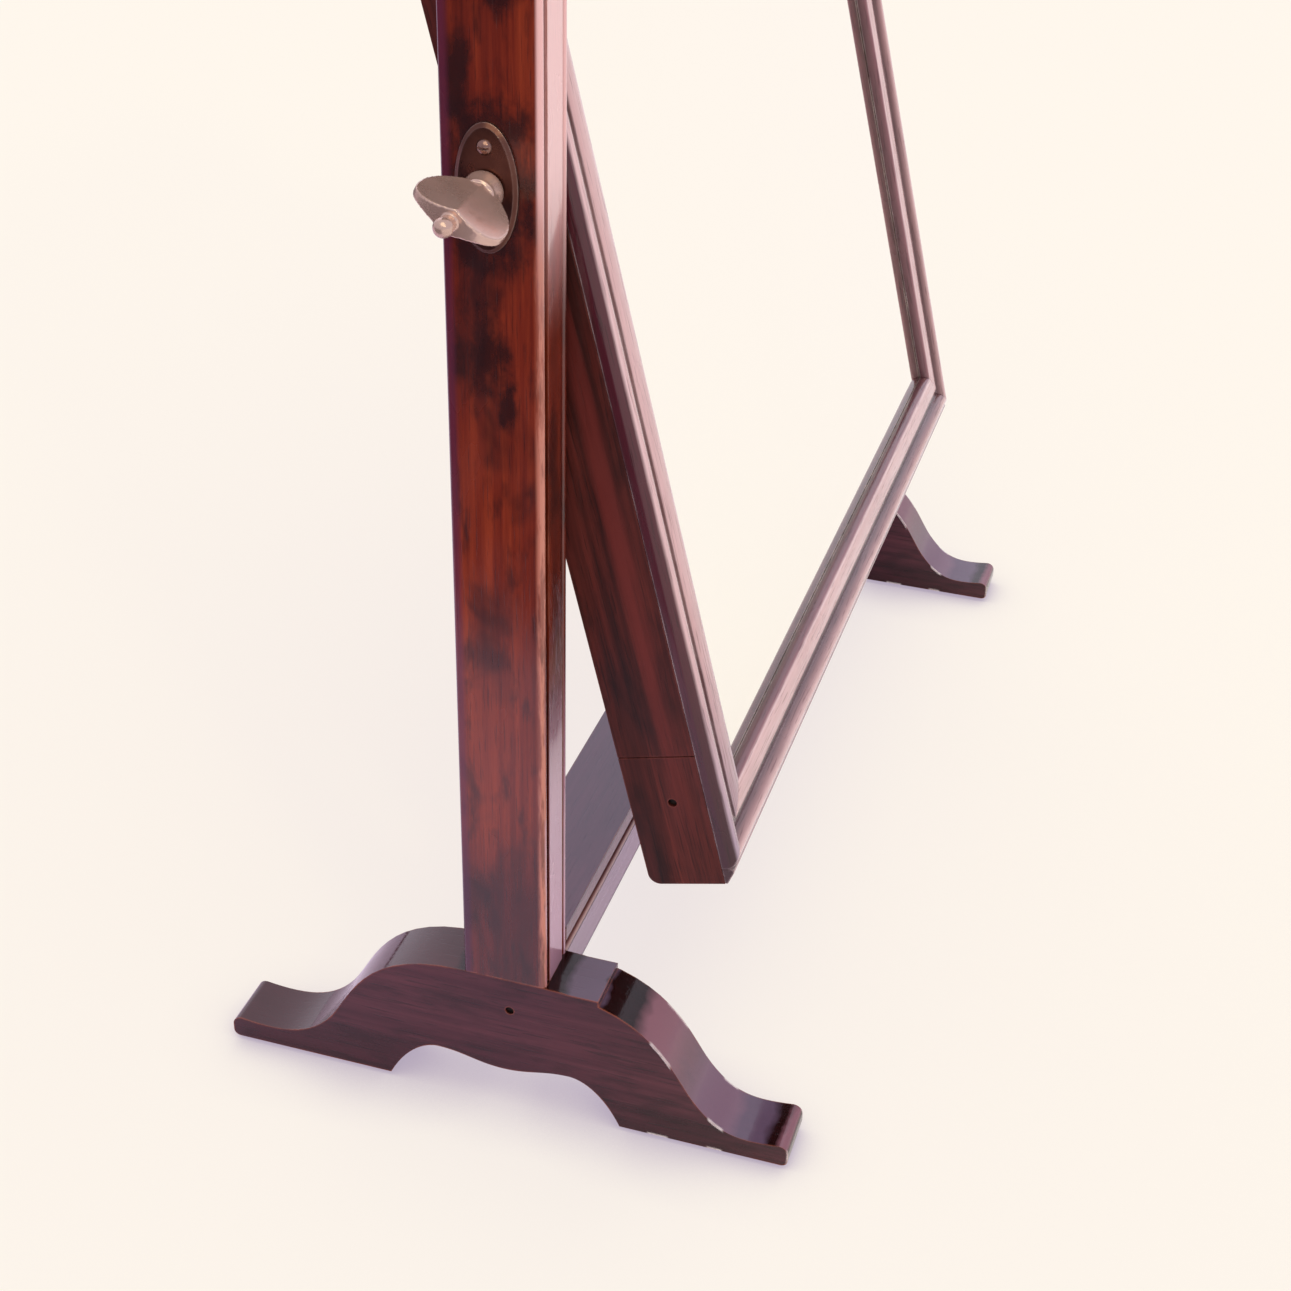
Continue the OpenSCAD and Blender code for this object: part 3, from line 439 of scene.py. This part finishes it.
# The stretcher's front: a painted reflection on the face, a paler lip and bead, near black lines at both
# edges and in the quirk
RAIL_FACE_REFLECTION = (0.56, 0.40, 0.50)
RAIL_LIP = (0.27, 0.13, 0.14)
RAIL_BEAD = (0.52, 0.28, 0.26)
RAIL_HOLLOW = (0.19, 0.05, 0.045)
RAIL_DARK_LINE = (0.02, 0.006, 0.007)
RAIL_TOP_REFLECTION = (0.15, 0.075, 0.16)
# Colours on the front of the stretcher, with a painted reflection on the face: millimetres up from its top,
# negative below, and the colour
RAIL_FROM = -30 * MM
RAIL_PROFILE = ((-30, RAIL_DARK_LINE), (-29, RAIL_DARK_LINE), (-28.4, RAIL_FACE_REFLECTION), (-14.4, RAIL_FACE_REFLECTION),
                (-14.1, RAIL_DARK_LINE), (-13, RAIL_DARK_LINE), (-12.4, RAIL_BEAD), (-10.6, RAIL_BEAD),
                (-9.8, RAIL_HOLLOW), (-6.8, RAIL_HOLLOW), (-6.2, RAIL_LIP), (-1.5, RAIL_LIP),
                (-1, RAIL_DARK_LINE), (0, RAIL_DARK_LINE))


def stretcher_marks(s, colour):
    """Painted violet reflection on top; along the front, a painted reflection on the face, a paler lip and
    bead, and near black lines.
    """
    low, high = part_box("stretcher")
    centre = middle("stretcher")
    above_top = s.maths("SUBTRACT", s.axis("Y"), high.z - centre.z)
    top = s.spread(above_top, -0.0004, -0.0001)
    # Painted violet reflection on the top
    colour = s.blend(s.times(top, 0.45), colour, RAIL_TOP_REFLECTION)
    front = s.spread(s.axis("X"), low.y - centre.y + 0.0035, low.y - centre.y + 0.0028, 0, 0.8)
    front = s.times(front, s.maths("SUBTRACT", 1, top))
    # Painted reflection on the face across the front
    return s.blend(front, colour, s.profile(above_top, RAIL_FROM, 0, RAIL_PROFILE))


# Corners of a copied mesh closer than this are one, and faces turned by less than this are one face
WELD = 0.01 * MM
FLAT = math.radians(0.6)
# Edges sharper than this are softened
SHARP = math.radians(32)


def copy_mesh(node, matrix):
    """The node's mesh in the axes of matrix, welded, with its flat faces whole again."""
    mesh = bpy.data.meshes.new(node)
    work = bmesh.new()
    work.from_mesh(frame["nodes"][node].data)
    work.transform(matrix.inverted())
    bmesh.ops.remove_doubles(work, verts=work.verts, dist=WELD)
    bmesh.ops.dissolve_limit(work, angle_limit=FLAT, verts=work.verts, edges=work.edges)
    for face in work.faces:
        face.smooth = True
    work.to_mesh(mesh)
    work.free()
    return mesh


def stand_for(node, mesh, matrix, material):
    """A piece of that mesh, in the axes of matrix, which rides with the node and stands for it."""
    mesh.materials.clear()
    mesh.materials.append(material)
    piece = bpy.data.objects.new(node + "_dressed", mesh)
    piece.matrix_world = matrix
    bpy.context.scene.collection.objects.link(piece)
    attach(piece, frame["nodes"][node]["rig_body"])
    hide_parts(node)
    return piece


def dress(node, matrix, material, edge):
    """A copy of a node with its arrises softened by edge, which stands for the node."""
    piece = stand_for(node, copy_mesh(node, matrix), matrix, material)
    bevel = piece.modifiers.new("arris", "BEVEL")
    bevel.width = edge
    bevel.segments = 3
    bevel.limit_method = "ANGLE"
    bevel.angle_limit = SHARP
    bevel.use_clamp_overlap = True
    level = piece.modifiers.new("level", "WEIGHTED_NORMAL")
    level.mode = "FACE_AREA"
    level.weight = 100


def give_material(node, material):
    """Only a material, for a node whose shape is right as it is."""
    materials = frame["nodes"][node].data.materials
    materials.clear()
    materials.append(material)


# Axes with local Z along the grain
UPRIGHT = Matrix.Identity(3)
ALONG_X = Matrix(((0, 0, 1), (1, 0, 0), (0, 1, 0)))
ALONG_Y = Matrix(((0, 1, 0), (0, 0, 1), (1, 0, 0)))
# The same for pieces of the leaning mirror whose grain runs up it: local X runs straight back
UP_FRAME = Matrix.Rotation(-LEAN, 3, "X") @ Matrix(((0, -1, 0), (1, 0, 0), (0, 0, 1)))


def axes(rotation, origin):
    matrix = rotation.to_4x4()
    matrix.translation = origin
    return matrix


def middle(node):
    low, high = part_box(node)
    return (low + high) / 2


# The dark, middle and light tones of each wood, the colour of its dirt and that of its worn arrises
POST_TONES = ((0.07, 0.006, 0.002), (0.17, 0.017, 0.005), (0.29, 0.038, 0.01))
POST_SOIL = (0.036, 0.0045, 0.0025)
POST_WORN = (0.38, 0.11, 0.06)
FOOT_TONES = ((0.034, 0.006, 0.009), (0.058, 0.011, 0.018), (0.095, 0.021, 0.03))
FOOT_WORN = (0.34, 0.08, 0.035)
RAIL_TONES = ((0.045, 0.008, 0.013), (0.085, 0.017, 0.028), (0.13, 0.03, 0.045))
RAIL_WORN = (0.34, 0.14, 0.1)
SIDE_TONES = ((0.022, 0.003, 0.002), (0.065, 0.009, 0.006), (0.13, 0.02, 0.014))
SIDE_WORN = (0.2, 0.05, 0.04)
MOULD_TONES = ((0.84, 0.74, 0.72), (0.93, 0.88, 0.87), (1.0, 1.0, 1.0))
MOULD_SOIL = (0.2, 0.09, 0.1)
MOULD_WORN = (0.8, 0.62, 0.64)
# Height of the moulding from bead to bead, without the bevelled edges at top and bottom
MOULDING_HEIGHT = 0.498
# Share by which the low end of the left moulding turns darker and bluer
LEFT_LOW_END_DARKENING = 0.8


def make_stand():
    post = mahogany("post wood", POST_TONES, POST_WORN, post_marks, stain=0.85, ior=1.5, soil=POST_SOIL)
    foot = mahogany("foot wood", FOOT_TONES, FOOT_WORN, foot_marks, stain=0.5, gloss=0.14, coat=0.6,
                    ior=1.35)
    rail = mahogany("stretcher wood", RAIL_TONES, RAIL_WORN, stretcher_marks, gloss=0.16)
    for side, face in (("left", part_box("left_post")[0].x), ("right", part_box("right_post")[1].x)):
        at_face = axes(UPRIGHT, Vector((face, PIVOT.y, PIVOT.z)))
        dress(side + "_post", at_face, post, 0.6 * MM)
        dress(side + "_foot", axes(ALONG_Y, middle(side + "_foot")), foot, 0.9 * MM)
    dress("stretcher", axes(ALONG_X, middle("stretcher")), rail, 0.5 * MM)


def make_frame():
    """Stiles and rails, each with its moulding; the grain of the rails runs from side to side."""
    half_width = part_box("right_moulding")[1].x
    back, up = (math.cos(LEAN), -math.sin(LEAN), 0), (math.sin(LEAN), math.cos(LEAN), 0)
    upright_marks = moulding_marks((1, 0, 0), (0, 1, 0), half_width, LEFT_LOW_END_DARKENING)
    level_marks = moulding_marks(back, up, MOULDING_HEIGHT / 2)
    for kind, ends, rotation, side_marks, front_marks in (
            ("stile", ("left", "right"), UP_FRAME, stile_marks, upright_marks),
            ("rail", ("top", "bottom"), ALONG_X, None, level_marks)):
        side = mahogany(kind + " wood", SIDE_TONES, SIDE_WORN, side_marks, stain=0.5, gloss=0.42, coat=0.0,
                        ior=1.35)
        front = mahogany(kind + " moulding wood", MOULD_TONES, MOULD_WORN, front_marks, stain=0.12,
                         coat=0.7, ior=1.45, soil=MOULD_SOIL, hollow_dark=0.1)
        place = axes(rotation, PIVOT)
        for end in ends:
            dress(end + "_" + kind, place, side, 0.7 * MM)
            dress(end + "_moulding", place, front, 0.25 * MM)


def pine_material():
    s = Shader("pine")
    fine = s.grain(500, 0.03, 4, 0.6)
    tone = s.maths("ADD", s.times(s.grain(28, 0.05, 3, 0.5, 0.8), 0.6), s.times(fine, 0.4))
    dark, middling, light = (0.16, 0.085, 0.038), (0.27, 0.16, 0.075), (0.36, 0.23, 0.12)
    colour = s.ramp(tone, (0.36, dark), (0.5, middling), (0.64, light))
    dust = s.noise(s.local(), 14, 4, 0.6)
    colour = s.blend(s.spread(dust, 0.45, 0.7, 0, 0.5), colour, (0.12, 0.075, 0.045))
    return s.surface(colour, s.spread(fine, 0.3, 0.7, 0.55, 0.8), s.bump(fine, 0.2 * MM, 0.5))


def metal(name, colour, tarnish, rough, spots, rubbed, dirt=0.7, metallic=1.0, grain=0.3, edge=0.5 * MM):
    """Old metal: tarnish in soft clouds, fine scratches, and arrises rubbed bright, partly as painted
    highlights.

    spots is the scale of the clouds, and edge the width of the rubbed arrises.
    """
    s = Shader(name)
    clouds = s.noise(s.local(), spots, 3, 0.55, 0.3)
    fine = s.noise(s.local(), spots * 14, 1, 0.6)
    tint = s.blend(s.fade(clouds, 0.38, 0.66, 0.85), colour, tarnish)
    tint = s.blend(s.spread(s.hollow(3 * MM), 0.2, 0.9, 0, dirt), tint, [c * 0.3 for c in tarnish])
    # Rubbed arrises, which also serve as painted highlights
    tint = s.blend(s.times(s.arris(edge), s.spread(fine, 0.3, 0.6, 0.4, 1)), tint, rubbed)
    roughness = s.maths("ADD", s.spread(clouds, 0.35, 0.65, rough - 0.06, rough + 0.1),
                        s.spread(fine, 0.3, 0.7, -0.03, 0.05))
    return s.surface(tint, roughness, s.bump(fine, 0.02 * MM, grain), metallic=metallic)


def mirror_material():
    """Silvered plate, a touch warm, with faint smears."""
    s = Shader("looking glass")
    smear = s.grain(9, 0.5, 4, 0.6)
    colour = s.blend(s.spread(smear, 0.45, 0.75, 0, 0.25), (0.995, 0.99, 0.9), (0.98, 0.975, 0.885))
    return s.surface(colour, 0.0, metallic=1.0)


def leather_material():
    s = Shader("leather")
    grain = s.node("TexVoronoi", {"Vector": s.local(), "Scale": 1600.0}).outputs["Distance"]
    colour = s.ramp(grain, (0, (0.02, 0.01, 0.007)), (0.6, (0.07, 0.035, 0.02)))
    return s.surface(colour, 0.6, s.bump(grain, 0.1 * MM, 0.6))


def iron_material():
    s = Shader("iron")
    rust = s.noise(s.local(), 900, 4, 0.65)
    colour = s.ramp(rust, (0.4, (0.012, 0.011, 0.011)), (0.7, (0.05, 0.024, 0.014)))
    return s.surface(colour, s.spread(rust, 0.3, 0.7, 0.4, 0.7), s.bump(rust, 0.05 * MM, 0.6), metallic=0.6)


# Remeshing of the thumb screws: size of the new mesh's faces, and how often it is relaxed
CAST_VOXEL = 0.32 * MM
CAST_PASSES = 5


def make_thumb_screw(side_name, material):
    """The solid recast as one smooth casting: filled, remeshed finely and relaxed."""
    node = side_name + "_thumb_screw"
    matrix = axes(UPRIGHT, Vector((middle(node).x, PIVOT.y, PIVOT.z)))
    rough = bpy.data.objects.new(node + "_rough", copy_mesh(node, matrix))
    bpy.context.scene.collection.objects.link(rough)
    remesh = rough.modifiers.new("cast", "REMESH")
    remesh.mode = "VOXEL"
    remesh.voxel_size = CAST_VOXEL
    relax = rough.modifiers.new("relax", "SMOOTH")
    relax.factor = 0.5
    relax.iterations = CAST_PASSES
    bpy.context.view_layer.update()
    mesh = bpy.data.meshes.new_from_object(rough.evaluated_get(bpy.context.evaluated_depsgraph_get()))
    bpy.data.objects.remove(rough)
    for face in mesh.polygons:
        face.use_smooth = True
    stand_for(node, mesh, matrix, material)


def make_metal():
    plate = metal("bronzed brass", (0.15, 0.066, 0.05), (0.075, 0.028, 0.023), 0.3, 50, (0.8, 0.64, 0.56),
                  edge=0.9 * MM)
    screw = metal("screw brass", (0.3, 0.17, 0.14), (0.2, 0.1, 0.08), 0.22, 200, (0.5, 0.36, 0.3))
    nickel = metal("worn nickel", (0.68, 0.465, 0.39), (0.52, 0.34, 0.28), 0.2, 60, (0.95, 0.82, 0.74),
                   dirt=0.1, metallic=0.6, grain=0.02, edge=0.3 * MM)
    iron = iron_material()
    leather = leather_material()
    for side_name in ("left", "right"):
        at_plate = axes(UPRIGHT, middle(side_name + "_oval_plate"))
        dress(side_name + "_oval_plate", at_plate, plate, 0.12 * MM)
        dress(side_name + "_oval_plate_screws", at_plate, screw, 0.08 * MM)
        make_thumb_screw(side_name, nickel)
        give_material(side_name + "_pivot_plate", plate)
        give_material(side_name + "_washer", leather)
    give_material("pivot_plate_screws", screw)
    for node in ("joint_pins", "foot_glides", "corner_pins", "backboard_nails"):
        give_material(node, iron)


def make_glass_and_back():
    pine = pine_material()
    place = axes(UP_FRAME, PIVOT)
    dress("backboard", place, pine, 0.4 * MM)
    dress("glass_blocks", place, pine, 0.3 * MM)
    dress("mirror_glass", place, mirror_material(), 0.1 * MM)


# Studio. The floor that the camera sees is part lit cream, part faint violet glow that stays in the shade
FLOOR_HALF = 15.0
FLOOR_SEEN = (0.999, 0.99, 0.5)
FLOOR_GLOW = (0.988, 0.907, 0.97)
GLOW_SHARE = 0.72
SHADE_SEEN = (0.66, 0.62, 0.5)
SHADE_GLOW = (0.6, 0.51, 0.66)
SHADE_REACH = 0.032
# The floor in reflections: ahead of the mirror, behind it, and behind it to either side
FLOOR_FRONT = (0.965, 0.93, 0.885)
FLOOR_BEHIND = (0.95, 0.80, 1.0)
FLOOR_FAR_BEHIND = (0.10, 0.08, 0.11)
# Colour round the floor, and the same seen in the glass; and the light from there, with a window in it
BACKGROUND = (0.991, 0.93, 0.839)
BACKGROUND_IN_GLASS = (1.0, 0.937, 0.944)
SKY = (0.7, 0.675, 0.78)
WINDOW_TOWARDS = Vector((0.84, 0.28, 0.46))
WINDOW_LEVEL = 0.8
# Cosines of the angles from the window's middle at which its light starts and is whole
WINDOW_RIM = 0.6
WINDOW_CORE = 0.93
LAMP_COLOUR = (1.0, 0.98, 0.62)
KEY_STRENGTH = 0.73
KEY_FROM = Vector((-0.5, -0.15, 0.85))
KEY_ANGLE = math.radians(45)
GLINT_STRENGTH = 0.18
GLINT_FROM = Vector((-0.54, -0.57, 0.56))
GLINT_ANGLE = math.radians(6)


def make_floor():
    """Pale floor. In reflections it is violet behind the mirror, and dark to either side there."""
    s = Shader("floor")
    seen = s.node("LightPath").outputs["Is Camera Ray"]
    behind = s.fade(s.axis("Y"), -0.12, 0.02)
    aside = s.fade(s.size(s.axis("X")), 0.475, 0.56)
    lit = s.blend(behind, FLOOR_FRONT, FLOOR_BEHIND)
    lit = s.blend(s.times(aside, behind), lit, FLOOR_FAR_BEHIND)
    cloud = s.spread(s.noise(s.local(), 3.0, 2), 0.3, 0.7, 0, 0.35)
    seen_colour = s.blend(cloud, FLOOR_SEEN, [c * 0.99 for c in FLOOR_SEEN])
    # Painted contact shade: near the object the AO node darkens the floor towards violet, in its lit part
    # and its glow
    open_share = s.node("AmbientOcclusion", {"Distance": SHADE_REACH}, samples=8).outputs["AO"]
    shade = s.spread(open_share, 0.95, 0.4)
    seen_colour = s.blend(shade, seen_colour, SHADE_SEEN)
    surface = s.node("BsdfDiffuse", {"Color": s.blend(seen, lit, seen_colour)}).outputs[0]
    glow = s.node("Emission", {"Color": s.blend(shade, FLOOR_GLOW, SHADE_GLOW)}).outputs[0]
    s.finish(s.node("MixShader", {0: s.times(seen, GLOW_SHARE), 1: surface, 2: glow}).outputs[0])
    corners = [(-FLOOR_HALF, -FLOOR_HALF, 0), (FLOOR_HALF, -FLOOR_HALF, 0),
               (FLOOR_HALF, FLOOR_HALF, 0), (-FLOOR_HALF, FLOOR_HALF, 0)]
    mesh = bpy.data.meshes.new("floor")
    mesh.from_pydata(corners, [], [(0, 1, 2, 3)])
    mesh.materials.append(s.owner)
    floor = bpy.data.objects.new("floor", mesh)
    bpy.context.scene.collection.objects.link(floor)


def make_world():
    """Even pale light, brighter towards a window; the camera and the glass see the floor's colour."""
    s = Shader("studio", "worlds")
    bpy.context.scene.world = s.owner
    window = s.dot(s.node("TexCoord").outputs["Generated"], WINDOW_TOWARDS.normalized())
    level = s.spread(window, WINDOW_RIM, WINDOW_CORE, 1, 1 + WINDOW_LEVEL, True)
    light = s.node("Background", {"Color": SKY, "Strength": level}).outputs[0]
    path = s.node("LightPath").outputs
    in_glass = path["Is Singular Ray"]
    colour = s.blend(in_glass, BACKGROUND, BACKGROUND_IN_GLASS)
    seen = s.node("Background", {"Color": colour}).outputs[0]
    either = s.maths("MAXIMUM", path["Is Camera Ray"], in_glass)
    s.finish(s.node("MixShader", {0: either, 1: light, 2: seen}).outputs[0], "OutputWorld")


def make_sun(name, strength, towards, angle):
    data = bpy.data.lights.new(name, "SUN")
    data.energy = strength
    data.color = LAMP_COLOUR
    data.angle = angle
    lamp = bpy.data.objects.new(name, data)
    lamp.rotation_euler = towards.to_track_quat("Z", "Y").to_euler()
    bpy.context.scene.collection.objects.link(lamp)


make_camera()
make_stand()
make_frame()
make_metal()
make_glass_and_back()
make_floor()
make_world()
make_sun("key", KEY_STRENGTH, KEY_FROM, KEY_ANGLE)
make_sun("glint", GLINT_STRENGTH, GLINT_FROM, GLINT_ANGLE)
bpy.context.scene.view_settings.view_transform = "Standard"

bpy.context.view_layer.update()
